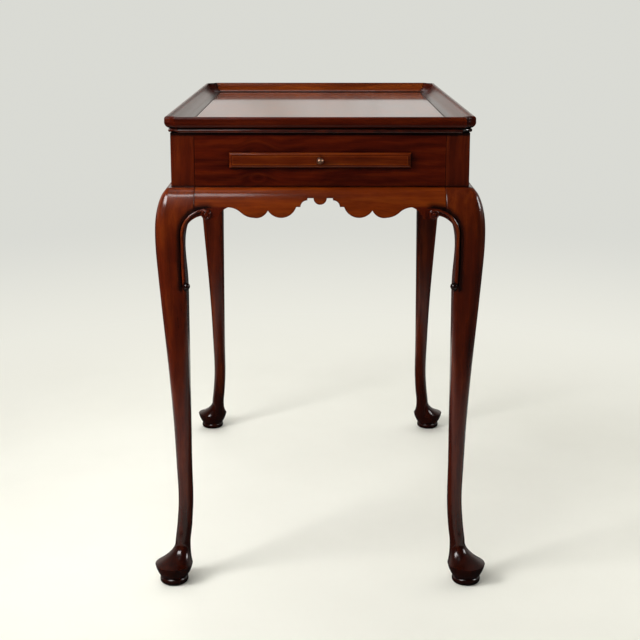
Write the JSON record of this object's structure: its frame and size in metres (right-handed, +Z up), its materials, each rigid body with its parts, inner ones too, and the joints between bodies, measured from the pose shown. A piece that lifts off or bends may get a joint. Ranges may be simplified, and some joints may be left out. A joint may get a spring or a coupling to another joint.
{
  "type": "tray top tea table",
  "caption": "Rectangular tea table with a moulded tray top, a frieze with pull-out candle slides, a scalloped skirt and cabriole legs on pad feet.",
  "frame": {"origin": "floor, under the middle of the table", "axes": "+Z up, Y along the length of the top with the front slide end towards -Y, X across it"},
  "size_m": [0.4934, 0.7548, 0.6955],
  "materials": {
    "mahogany_tray": "polished, glossy",
    "mahogany_rim": "polished, glossy",
    "mahogany_leg": "polished, glossy",
    "mahogany_frieze": "polished, glossy",
    "mahogany_skirt": "polished, glossy",
    "mahogany_slide": "polished, glossy",
    "oak_inner": "planed, unfinished",
    "brass_knob": "aged, soft shine",
    "steel_screw": "plain"
  },
  "bodies": {
    "table": {"corner_block_back_left": "oak_inner", "corner_block_back_right": "oak_inner", "corner_block_front_left": "oak_inner", "corner_block_front_right": "oak_inner", "end_bracket_back_left": "mahogany_leg", "end_bracket_back_right": "mahogany_leg", "end_bracket_front_left": "mahogany_leg", "end_bracket_front_right": "mahogany_leg", "end_rail_back": "mahogany_frieze", "end_rail_front": "mahogany_frieze", "end_skirt_back": "mahogany_skirt", "end_skirt_front": "mahogany_skirt", "leg_back_left": "mahogany_leg", "leg_back_right": "mahogany_leg", "leg_front_left": "mahogany_leg", "leg_front_right": "mahogany_leg", "rim_back": "mahogany_rim", "rim_corner_back_left": "mahogany_rim", "rim_corner_back_right": "mahogany_rim", "rim_corner_front_left": "mahogany_rim", "rim_corner_front_right": "mahogany_rim", "rim_front": "mahogany_rim", "rim_left": "mahogany_rim", "rim_right": "mahogany_rim", "side_bracket_back_left": "mahogany_leg", "side_bracket_back_right": "mahogany_leg", "side_bracket_front_left": "mahogany_leg", "side_bracket_front_right": "mahogany_leg", "side_rail_left": "mahogany_frieze", "side_rail_right": "mahogany_frieze", "side_skirt_left": "mahogany_skirt", "side_skirt_right": "mahogany_skirt", "slide_runner_left": "oak_inner", "slide_runner_right": "oak_inner", "top_cleat_left": "oak_inner", "top_cleat_right": "oak_inner", "top_screws": "steel_screw", "tray_board": "mahogany_tray"},
    "front_slide": {"slide_board_front": "mahogany_slide", "slide_knob_front": "brass_knob", "slide_lip_front": "mahogany_slide", "slide_stop_pegs_front": "oak_inner"},
    "back_slide": {"slide_board_back": "mahogany_slide", "slide_knob_back": "brass_knob", "slide_lip_back": "mahogany_slide", "slide_stop_pegs_back": "oak_inner"}
  },
  "joints": [
    {"name": "front_slide_pull", "type": "slide", "parent": "table", "child": "front_slide", "axis": [0, -1, 0], "range_m": [0, 0.19]},
    {"name": "back_slide_pull", "type": "slide", "parent": "table", "child": "back_slide", "axis": [0, 1, 0], "range_m": [0, 0.19]}
  ]
}
